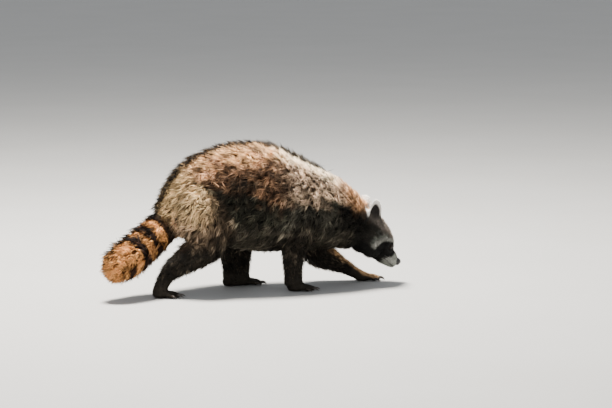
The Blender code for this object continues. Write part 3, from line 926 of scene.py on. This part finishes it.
nearest_on_skin = finder(outer)
ROUGHNESS = over_solids({
    "trunk": 1.0, "neck": 0.8, "head": 0.45, "lower_jaw": 0.4, "ear": 0.3, "upper_arm": 1.0, "forearm": 1.0,
    "fore_paw": 0.5, "thigh": 1.0, "shin": 1.0, "hind_paw": 0.5, **{name: 1.0 for name in TAIL_NODES}})
roughness = mix_over_parts(ROUGHNESS)
GUARD_BLACK = light_value(26, 20, 17)
spine = np.clip(1 - np.abs(outer_normals[:, 1] - 0.08), 0, 1)**10 * step(outer_normals[:, 2], -0.4, 0.3)
spine *= np.clip(share("trunk", "neck", "thigh_right", "thigh_left") + 0.5 * tail_share, 0, 1)
print("points along the ridge of the back:", int((spine > 0.5).sum()))

# %% [markdown]
# One function grows a whole kind of hair from a short list of settings. Ruffle turns wisps away from the
# lie of the coat, gather draws a lock to its wisp's middle, and root, middle and tip are the shares of
# the coat's colour along a lock. The colour is read where the lock shows, well down its length, or long
# hair would carry every marking backwards.

# %% Grow hair
HAIR_BEYOND_BOX = np.array([0.020, 0.010, 0.013])  # the furthest that tips may pass the solids' box
LOWEST_HAIR = np.array(solid_box[0]) - HAIR_BEYOND_BOX
LOWEST_HAIR[2] = 0.0003
HIGHEST_HAIR = np.array(solid_box[1]) + HAIR_BEYOND_BOX
SHOWS_AT = 0.6  # a lock shows at this share of the way from its root to its tip
SHORTEST_LOCK = 0.0045
TUFT_TURN, STRAY_TURN = 0.7, 0.12  # how far tufts and single locks turn away, against wisps
TUFT_SHADE = 0.95  # how much tufts differ in shade, against wisps
HUE_SPREAD = 0.02
DARK_TIP = 0.55  # how much of the tip is black along the ridge of the back
WIDTH_OVER_LENGTH = 0.105
NARROWEST, WIDEST = 0.0009, 0.0034
DARKEST_HAIR, BRIGHTEST_HAIR = 0.001, 0.93


def grow(count, weights, rings, kind):
    """Draws roots and works out everything about their locks."""
    triangle, corner_share = draw_roots(count, weights)
    root = at_roots(inner, triangle, corner_share)
    normal = unit(at_roots(outer_normals, triangle, corner_share))
    rough = at_roots(roughness, triangle, corner_share)
    wisp, middle_of_wisp, wisp_count = wisps(root, WISP_LOCKS)
    tuft, _, tuft_count = wisps(root, TUFT_LOCKS)
    swirl = rng.normal(size=(wisp_count, 3))[wisp] + TUFT_TURN * rng.normal(size=(tuft_count, 3))[tuft]
    swirl = (kind["ruffle"] * rough)[:, None] * swirl + STRAY_TURN * rng.normal(size=root.shape)
    lock_way = unit(unit(at_roots(lie, triangle, corner_share)) + swirl)
    height = at_roots(depth, triangle, corner_share) * rng.uniform(0.72, 1.0, wisp_count)[wisp]
    height *= rng.uniform(*kind["height"], count)
    length = np.maximum(height * kind["length"] * rng.uniform(0.85, 1.2, count), SHORTEST_LOCK)
    width = np.clip(length * WIDTH_OVER_LENGTH, NARROWEST, WIDEST)
    width *= rng.uniform(0.7, 1.3, count) * kind["width"]
    lean = (middle_of_wisp - root) * kind["gather"]
    points = lock_shapes(rings, root, normal, lock_way, length, height, width, lean)
    points = np.clip(points, LOWEST_HAIR, HIGHEST_HAIR)

    shade = rng.normal(0, kind["wisp_shade"], wisp_count)[wisp]
    shade += rng.normal(0, TUFT_SHADE * kind["wisp_shade"], tuft_count)[tuft]
    shade = np.exp(rough * (shade + rng.normal(0, kind["lock_shade"], count)) - 0.12 * rough)
    colour = skin_colour[nearest_on_skin(root + SHOWS_AT * (points[:, -1] - root))]
    colour = colour * shade[:, None] * (1 + rng.normal(0, HUE_SPREAD, (count, 3)))
    bright = 0.35 * rng.random(count)
    parts = np.zeros((count, rings * RING_SIDES + 1, 3))
    # dark roots: partly the hair's own dark base, partly painted shade in the gaps between locks
    parts[:, :RING_SIDES] = (colour * kind["root"])[:, None]
    parts[:, RING_SIDES:-1] = (colour * (kind["middle"] + bright[:, None]))[:, None]
    dark_tip = DARK_TIP * at_roots(spine, triangle, corner_share)[:, None]
    parts[:, -1] = colour * kind["tip"] * (1 - dark_tip) + GUARD_BLACK * dark_tip
    parts = np.maximum(parts, DARKEST_HAIR)
    parts *= np.minimum(1, BRIGHTEST_HAIR / parts.max(axis=-1, keepdims=True))  # dims, but keeps the hue
    layout_at = (corner_layout[triangle] * corner_share[:, :, None]).sum(1)
    return {"rings": rings, "points": points, "colours": parts, "layout": layout_at,
            "part": part[triangles[triangle, 0]], "root": root}


print("hair may pass the solids' box by", HAIR_BEYOND_BOX)

# %% [markdown]
# The deep coat of body, thighs and tail gets long locks. Face, ears, lower legs and paws get short ones,
# whose roots are nearly as light as their tips, since dark roots would make so short a coat speckled.

# %% The coat
# the root share darkens each lock's root, partly as the hair's own dark base and partly as painted shade
# between locks
COAT = {
    "ruffle": 0.40, "height": (0.62, 1.0), "length": 2.0, "width": 0.74, "gather": 0.55,
    "wisp_shade": 0.60, "lock_shade": 0.30, "root": 0.14, "middle": 0.80, "tip": 1.35}
SHORT_COAT = {**COAT, "root": 0.80, "width": 1.0, "tip": 1.25}
SHORT_HAIRED = ("head", "lower_jaw", "ear_left", "ear_right", "forearm_left", "forearm_right",
                "shin_left", "shin_right", *PAWS)
short_share = np.clip(share(*SHORT_HAIRED), 0, 1)[triangles].mean(1)
long_locks = grow(LONG_LOCKS, weight * (1 - short_share), LONG, COAT)
short_locks = grow(SHORT_LOCKS, weight * short_share, SHORT, SHORT_COAT)
print("locks:", LONG_LOCKS, "long and", SHORT_LOCKS, "short")

# %% [markdown]
# ## Guard hairs
# Long, stiff, nearly black hairs stand out of the soft coat along the ridge of the back. They are what
# makes the outline look rough and dark. They are the same spikes, only thinner and standing steeper, and
# they leave the nape free so that the far ear shows.

# %% Guard hairs
GUARDS = 4000
GUARD = {
    "ruffle": 0.35, "height": (1.05, 1.60), "length": 1.45, "width": 0.70, "gather": 0.7,
    "wisp_shade": 0.1, "lock_shade": 0.3, "root": 0.4, "middle": -0.12, "tip": 0.01}
guarded = spine * (1 - step(outer[:, 0], 0.150, 0.185))
guards = grow(GUARDS, area * guarded[triangles].mean(1), LONG, GUARD)
print("guard hairs:", len(guards["root"]))

# %% [markdown]
# ## Materials
# Hair is a soft, faintly glossy stuff. Its colour comes from the painted attribute, broken up by a fine
# noise so that no lock is one flat tone, and the same noise in the bump stands for the single hairs that
# are too thin to model. The other materials vary between two tones by a pattern.

# %% Hair and skin materials
def new_material(name, roughness, specular=None):
    material = bpy.data.materials.new(name)
    material.use_nodes = True
    shader = material.node_tree.nodes["Principled BSDF"]
    shader.inputs["Roughness"].default_value = roughness
    if specular is not None:
        shader.inputs["Specular IOR Level"].default_value = specular
    return material, material.node_tree.nodes, material.node_tree.links, shader


def add_node(nodes, kind, values):
    """Adds a shader node and sets its inputs."""
    node = nodes.new(f"ShaderNode{kind}")
    for name, value in values.items():
        node.inputs[name].default_value = value
    return node


def noise(nodes, links, scale, detail, stretch=None):
    """A noise over the object's own space, squeezed along an axis if asked."""
    place = nodes.new("ShaderNodeTexCoord").outputs["Object"]
    if stretch:
        mapping = add_node(nodes, "Mapping", {"Scale": stretch})
        links.new(place, mapping.inputs["Vector"])
        place = mapping.outputs["Vector"]
    texture = add_node(nodes, "TexNoise", {"Scale": scale, "Detail": detail})
    links.new(place, texture.inputs["Vector"])
    return texture.outputs["Fac"]


def add_bump(nodes, links, shader, pattern, strength, distance):
    bump = add_node(nodes, "Bump", {"Strength": strength, "Distance": distance})
    links.new(pattern, bump.inputs["Height"])
    links.new(bump.outputs["Normal"], shader.inputs["Normal"])
    return bump


def two_tones(nodes, links, shader, pattern, dark, light):
    """Colours the shader from one colour to another by a pattern."""
    ramp = nodes.new("ShaderNodeValToRGB")
    ramp.color_ramp.elements[0].color = (*dark, 1)
    ramp.color_ramp.elements[1].color = (*light, 1)
    links.new(pattern, ramp.inputs["Fac"])
    links.new(ramp.outputs["Color"], shader.inputs["Base Color"])


def patterned(name, roughness, dark, light, scale, detail, stretch=None, bump=None, specular=None):
    """A material that varies between two tones by a noise; bump is a strength and a depth."""
    material, nodes, links, shader = new_material(name, roughness, specular)
    pattern = noise(nodes, links, scale, detail, stretch)
    two_tones(nodes, links, shader, pattern, dark, light)
    if bump:
        add_bump(nodes, links, shader, pattern, *bump)
    return material


def coat_material(name, roughness, low, high, scale, detail, bump, specular, stretch=None):
    """The painted coat colour, made between low and high times as light by a noise."""
    material, nodes, links, shader = new_material(name, roughness, specular)
    pattern = noise(nodes, links, scale, detail, stretch)
    painted = nodes.new("ShaderNodeAttribute")
    painted.attribute_name = "coat_colour"
    span = add_node(nodes, "MapRange", {"From Min": 0.3, "From Max": 0.7, "To Min": low, "To Max": high})
    scaled = nodes.new("ShaderNodeVectorMath")
    scaled.operation = "SCALE"
    links.new(pattern, span.inputs["Value"])
    links.new(painted.outputs["Color"], scaled.inputs[0])
    links.new(span.outputs["Result"], scaled.inputs["Scale"])
    links.new(scaled.outputs["Vector"], shader.inputs["Base Color"])
    add_bump(nodes, links, shader, pattern, *bump)
    return material


HAIR = {"scale": 900.0, "detail": 2.0, "bump": (0.35, 0.0006), "specular": 0.12}
coat_hair = coat_material("coat hair", 0.62, 0.72, 1.28, **HAIR)
guard_hair = coat_material("guard hair", 0.42, 0.85, 1.15, **HAIR)
underfur = coat_material(
    "underfur skin", 0.85, 0.6, 1.4, scale=700.0, detail=5.0, bump=(0.6, 0.0012), specular=0.2,
    stretch=(1.0, 1.6, 0.5))
skin.data.materials.append(underfur)
print("materials:", [m.name for m in bpy.data.materials])

# %% [markdown]
# ## Coat pieces
# A million triangles in one mesh is heavy to handle, so the locks are shared out into pieces by where
# they grow: face, lower legs, tail, and four quarters of the body.

# %% Share the locks out
FRONT_FROM = 0.02  # the front quarters begin here along the body


def numbers(*names):
    return [FLESH.index(name) for name in names]


def coat_piece(name, batch, chosen, material):
    piece = mesh_of_locks(name, batch, chosen)
    piece.data.materials.append(material)
    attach(piece, "root")
    print(name, "has", int(chosen.sum()), "locks and", len(piece.data.polygons), "triangles")
    return piece


is_head = np.isin(short_locks["part"], numbers("head", "lower_jaw", "ear_left", "ear_right"))
coat_piece("coat_head", short_locks, is_head, coat_hair)
coat_piece("coat_feet", short_locks, ~is_head, coat_hair)

is_tail = np.isin(long_locks["part"], numbers(*TAIL_NODES))
right_side = long_locks["root"][:, 1] < MIDLINE
front_half = long_locks["root"][:, 0] > FRONT_FROM
coat_piece("coat_tail", long_locks, is_tail, coat_hair)
for name, quarter in (
        ("coat_fore_right", right_side & front_half), ("coat_fore_left", ~right_side & front_half),
        ("coat_rear_right", right_side & ~front_half), ("coat_rear_left", ~right_side & ~front_half)):
    coat_piece(name, long_locks, ~is_tail & quarter, coat_hair)
coat_piece("guard_hairs", guards, np.ones(GUARDS, bool), guard_hair)

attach(skin, "root")
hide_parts(*FLESH)

# %% [markdown]
# ## Eyes
# A raccoon's eye is a wet, near-black ball with a dark brown iris that only shows up close. A ball with
# a slightly raised cornea catches a light, and a rim of dark lid skin seats it in the mask. The ball is
# a spun profile: a circle whose front swells a little.

# %% Eyes
EYE_SEGMENTS = 32
EYE_RINGS = 20
EYE_SIZE = 0.78  # the ball's radius, as a share of half the solid eye's width
EYE_SUNK = 0.46  # how deep the ball sits, as a share of its radius
GAZE = (0.48, 0.34, 0.81)  # along the muzzle, up from it and sideways
CORNEA_SWELL = 0.06
LID_STEPS = 12
LID_THICKNESS = 0.0010
LID_PLACE = (0.56, 0.88)  # the lid's ring along and across the ball, as shares of its radius


def add_ring(bm, centre, across, up, sides):
    """A ring of points round a centre; across and up are its two half axes."""
    angles = [2 * math.pi * k / sides for k in range(sides)]
    return [bm.verts.new(centre + math.cos(angle) * across + math.sin(angle) * up) for angle in angles]


def join_rings(bm, rings, sides, closed=False):
    """Faces from ring to ring, where a ring may be a single point, and over both ends if asked."""
    for low, high in zip(rings, rings[1:]):
        for k in range(sides):
            a, b, c, d = k % len(low), (k + 1) % len(low), (k + 1) % len(high), k % len(high)
            corners_left = list(dict.fromkeys([low[a], low[b], high[c], high[d]]))
            if len(corners_left) > 2:
                bm.faces.new(corners_left)
    if closed:
        bm.faces.new(rings[0][::-1])
        bm.faces.new(rings[-1])


def spun(bm, profile, centre, axis, sides):
    """Spins a profile of (along, out) pairs round an axis through a centre."""
    axis = Vector(axis).normalized()
    side = axis.orthogonal().normalized()
    other = axis.cross(side)
    rings = []
    for along, out in profile:
        place = Vector(centre) + axis * along
        on_axis = out < 1e-7
        around = [bm.verts.new(place)] if on_axis else add_ring(bm, place, side * out, other * out, sides)
        rings.append(around)
    join_rings(bm, rings, sides)


def mesh_object(name, build, material, smooth=True):
    bm = bmesh.new()
    build(bm)
    bmesh.ops.recalc_face_normals(bm, faces=bm.faces)
    mesh = bpy.data.meshes.new(name)
    bm.to_mesh(mesh)
    bm.free()
    if smooth:
        mesh.shade_smooth()
    mesh.materials.append(material)
    obj = bpy.data.objects.new(name, mesh)
    bpy.context.scene.collection.objects.link(obj)
    return obj


wet_eye = patterned(
    "wet eye", 0.18, light_value(8, 6, 5), light_value(30, 18, 12), 500.0, 4.0, specular=0.07)
lid_skin = patterned(
    "lid skin", 0.70, light_value(7, 6, 6), light_value(15, 12, 11), 900.0, 3.0,
    bump=(0.5, 0.0004), specular=0.1)


def make_eye(side):
    low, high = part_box(f"eye_{side}")
    centre = (low + high) / 2
    radius = (high.y - low.y) / 2 * EYE_SIZE
    sign = 1 if side == "left" else -1
    gaze = Vector(GAZE[0] * MUZZLE_WAY + GAZE[1] * CROWN_WAY) + Vector((0, sign * GAZE[2], 0))
    gaze.normalize()
    seat = centre - gaze * radius * EYE_SUNK

    def ball(bm):
        profile = []
        for i in range(EYE_RINGS + 1):
            angle = math.pi * i / EYE_RINGS
            swell = 1 + CORNEA_SWELL * max(0.0, -math.cos(angle) - 0.75) / 0.25
            profile.append((-math.cos(angle) * radius * swell, math.sin(angle) * radius))
        spun(bm, profile, seat, -gaze, EYE_SEGMENTS)

    def lid(bm):
        profile = []
        for i in range(LID_STEPS + 1):
            angle = 2 * math.pi * i / LID_STEPS
            out = radius * LID_PLACE[1] + LID_THICKNESS * math.cos(angle)
            profile.append((radius * LID_PLACE[0] + LID_THICKNESS * math.sin(angle), out))
        spun(bm, profile, seat, gaze, EYE_SEGMENTS)

    eye = mesh_object(f"eyeball_{side}", ball, wet_eye)
    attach(eye, "root")
    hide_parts(f"eye_{side}")
    rim = mesh_object(f"eyelid_{side}", lid, lid_skin)
    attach(rim, "root")
    print("eye", side, "radius", round(radius, 4))


for side in ("left", "right"):
    make_eye(side)

# %% [markdown]
# ## Nose
# The nose is a bare, pebbled, moist pad with two comma-shaped nostrils and a groove down the middle. It
# starts as a rounded pad, and the nostrils are pressed into it by moving the points near two places
# inwards. The pebbles are too fine to model, so they are a cell pattern in the bump.

# %% Nose
NOSE_SEAT = (0.0030, 0.0010)  # the pad's middle behind the solid nose's and above it
NOSE_LENGTH_HALF, NOSE_HEIGHT_HALF = 0.0090, 0.0080
NOSTRIL = (0.80, 0.50, -0.05)  # ahead, beside and above, in half lengths of the pad
NOSTRIL_RADIUS, NOSTRIL_DEPTH = 0.24, 0.42


def nose_material():
    material, nodes, links, shader = new_material("nose leather", 0.42)
    place = nodes.new("ShaderNodeTexCoord")
    pebbles = add_node(nodes, "TexVoronoi", {"Scale": 1500.0})
    links.new(place.outputs["Object"], pebbles.inputs["Vector"])
    groove, bead = light_value(26, 23, 22), light_value(9, 8, 8)
    two_tones(nodes, links, shader, pebbles.outputs["Distance"], groove, bead)
    add_bump(nodes, links, shader, pebbles.outputs["Distance"], 0.5, 0.0003).invert = True
    return material


def make_nose():
    low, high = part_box("nose")
    half = (high - low) / 2
    centre = Vector(NOSE_AT - NOSE_SEAT[0] * MUZZLE_WAY + NOSE_SEAT[1] * CROWN_WAY)
    turn = Matrix.Rotation(HEAD_PITCH, 3, "Y")
    radii = Vector((NOSE_LENGTH_HALF, half.y * 1.16, NOSE_HEIGHT_HALF))

    def pad(bm):
        bmesh.ops.create_icosphere(bm, subdivisions=5, radius=1.0)
        for v in bm.verts:
            p = v.co.copy()
            blunt = 1 - 0.10 * abs(p.y) ** 3
            groove = 0.12 * math.exp(-(p.y / 0.10) ** 2) * max(0.0, p.x)
            dent = 0.0
            for sign in (-1, 1):
                offset = p - Vector((NOSTRIL[0], sign * NOSTRIL[1], NOSTRIL[2]))
                away = Vector((offset.x, offset.y / 1.25, offset.z)).length
                dent += NOSTRIL_DEPTH * math.exp(-(away / NOSTRIL_RADIUS) ** 2)
            wing = 0.10 * max(0.0, -p.z) * abs(p.y)
            size = blunt - groove - dent + wing
            v.co = centre + turn @ Vector((p.x * radii.x, p.y * radii.y, p.z * radii.z)) * size

    nose = mesh_object("nose_pad", pad, nose_material())
    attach(nose, "root")
    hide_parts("nose")
    print("nose pad has", len(nose.data.polygons), "faces")


make_nose()

# %% [markdown]
# ## Claws
# Each toe ends in a narrow curved claw of dark horn. A claw is a tapering tube along an arc that bends
# to the ground, made ring by ring. The five of a paw are one piece.

# %% Claws
CLAW_LENGTH = 0.0115
CLAW_HALF_WIDTH = 0.0015
CLAW_HALF_DEPTH = 0.0020
CLAW_STEPS = 8
CLAW_SIDES = 10


claw_horn = patterned(
    "claw horn", 0.30, light_value(30, 24, 20), light_value(66, 55, 44), 600.0, 3.0,
    stretch=(0.4, 1.5, 1.5), bump=(0.25, 0.0003))


def make_claws(paw):
    def build(bm):
        for end, forward in toe_frames(paw):
            side = Vector((-forward[1], forward[0], 0.0))
            rings = []
            for i in range(CLAW_STEPS + 1):
                t = i / CLAW_STEPS
                ahead = -0.30 + 1.30 * t
                height = 0.0012 + 0.0016 * t - 0.0062 * t**3  # rises a little, then bends down
                taper = math.sqrt(max(0.0, 1 - t**1.8)) * 0.92 + 0.06
                place = Vector(end) + Vector(forward) * ahead * CLAW_LENGTH + Vector((0, 0, height))
                half_depth = Vector((0, 0, CLAW_HALF_DEPTH * taper))
                rings.append(add_ring(bm, place, side * CLAW_HALF_WIDTH * taper, half_depth, CLAW_SIDES))
            join_rings(bm, rings, CLAW_SIDES, closed=True)

    claws = mesh_object(f"claws_{paw.replace('_paw', '')}", build, claw_horn)
    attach(claws, "root")


for paw in PAWS:
    make_claws(paw)
print("claws made for", len(PAWS), "paws")

# %% [markdown]
# ## Whiskers
# Whiskers are stiff, smooth hairs that grow in rows on the upper lip and bend back. Each is a thin
# tapering tube along a curve. They are set on the skin by casting a ray at it from outside.

# %% Whiskers
WHISKER_RADIUS = 0.00032
skin_rays = BVHTree.FromObject(skin, bpy.context.evaluated_depsgraph_get())


whisker_hair = patterned(
    "whisker", 0.35, light_value(150, 145, 138), light_value(228, 224, 216), 120.0, 2.0)


def whisker_path(behind, above, length, sign):
    """A curve from the lip, outwards and then back."""
    aim = Vector(NOSE_AT - behind * MUZZLE_WAY + above * CROWN_WAY)
    outside = aim + Vector((0, sign * 0.08, 0))
    hit = skin_rays.ray_cast(outside, Vector((0, -sign, 0)))[0] or aim
    out = Vector((0, sign, 0)) * 0.75 + Vector(MUZZLE_WAY) * 0.25 - Vector(CROWN_WAY) * 0.15
    back = -Vector(MUZZLE_WAY) * 0.55 - Vector(CROWN_WAY) * 0.10
    points = []
    for i in range(9):
        t = i / 8
        points.append(hit + out * length * t * (1 - 0.35 * t) + back * length * t * t - out * 0.001)
    return points


def tube_along(bm, points, radius, sides=6):
    """A closed tube through points that thins towards its end."""
    rings = []
    for i, p in enumerate(points):
        ahead = points[min(i + 1, len(points) - 1)] - points[max(i - 1, 0)]
        side = ahead.orthogonal().normalized()
        other = ahead.cross(side).normalized()
        size = radius * (1 - 0.85 * i / (len(points) - 1))
        rings.append(add_ring(bm, p, size * side, size * other, sides))
    join_rings(bm, rings, sides, closed=True)


def whiskers(bm):
    for sign in (-1, 1):
        for row in range(3):
            for column in range(4):
                behind = 0.012 + 0.0055 * column + 0.001 * row  # rows slant back, and hairs lengthen
                above = -0.002 - 0.0042 * row
                length = 0.026 + 0.006 * column
                tube_along(bm, whisker_path(behind, above, length, sign), WHISKER_RADIUS)


whisker_piece = mesh_object("whiskers", whiskers, whisker_hair)
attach(whisker_piece, "root")
print("whiskers have", len(whisker_piece.data.polygons), "faces")

# %% [markdown]
# ## Floor
# The animal stands on a plain pale floor, a disc so wide that its edge lies far behind.

# %% Floor
studio_floor = patterned("studio floor", 0.7, (0.36, 0.36, 0.35), (0.40, 0.40, 0.39), 3.0, 3.0)


def floor_disc(bm):
    bmesh.ops.create_circle(bm, cap_ends=True, segments=96, radius=30.0)


floor = mesh_object("floor", floor_disc, studio_floor, smooth=False)
print("floor is", floor.dimensions.x, "metres wide")

# %% [markdown]
# ## Lights
# One soft lamp above and behind picks out the back and the rims of the ears, as a high sun would. A much
# weaker one from the side keeps the flank readable, and a pale sky fills the rest. A strong side lamp
# would flatten the coat, whose depth shows only by its own shadows.

# %% Lights
def area_lamp(name, place, aim, size, power, colour):
    lamp = bpy.data.lights.new(name, "AREA")
    lamp.shape = "DISK"
    lamp.size = size
    lamp.energy = power
    lamp.color = colour
    obj = bpy.data.objects.new(name, lamp)
    bpy.context.scene.collection.objects.link(obj)
    obj.location = place
    obj.rotation_euler = (Vector(aim) - Vector(place)).to_track_quat("-Z", "Y").to_euler()


area_lamp("key_lamp", (-0.35, 0.45, 2.7), (0, 0, 0.15), 0.8, 500.0, (1.0, 0.95, 0.88))
area_lamp("fill_lamp", (-0.6, -2.6, 1.2), (0, 0, 0.12), 1.8, 12.0, (0.97, 0.98, 1.0))

world = bpy.data.worlds.new("studio")
bpy.context.scene.world = world
world.use_nodes = True
sky = world.node_tree.nodes["Background"]
sky.inputs["Color"].default_value = (0.80, 0.82, 0.85, 1)
sky.inputs["Strength"].default_value = 0.80

# %% [markdown]
# ## Camera
# The camera stands low and far off with a long lens, a little behind the animal's right shoulder. It is
# placed by its direction and distance from the point it looks at, which is easier to steer than turns.

# %% Camera
TARGET = Vector((0.1214, 0.0040, 0.1738))
VIEW_AZIMUTH = math.radians(-16)
VIEW_ELEVATION = math.radians(7.5)
VIEW_DISTANCE = 6.0
VIEW_WIDTH = 1.273  # metres across the frame at the target
SENSOR = 36.0


def make_camera():
    data = bpy.data.cameras.new("camera")
    data.sensor_width = SENSOR
    data.lens = SENSOR * VIEW_DISTANCE / VIEW_WIDTH
    data.clip_end = 200.0
    obj = bpy.data.objects.new("camera", data)
    bpy.context.scene.collection.objects.link(obj)
    level = math.cos(VIEW_ELEVATION)
    level_way = Vector((math.sin(VIEW_AZIMUTH), -math.cos(VIEW_AZIMUTH), 0))
    towards = level_way * level + Vector((0, 0, math.sin(VIEW_ELEVATION)))
    obj.location = TARGET + towards * VIEW_DISTANCE
    obj.rotation_euler = (-towards).to_track_quat("-Z", "Y").to_euler()
    bpy.context.scene.camera = obj
    return obj


camera = make_camera()
print("camera height", round(camera.location.z, 3))
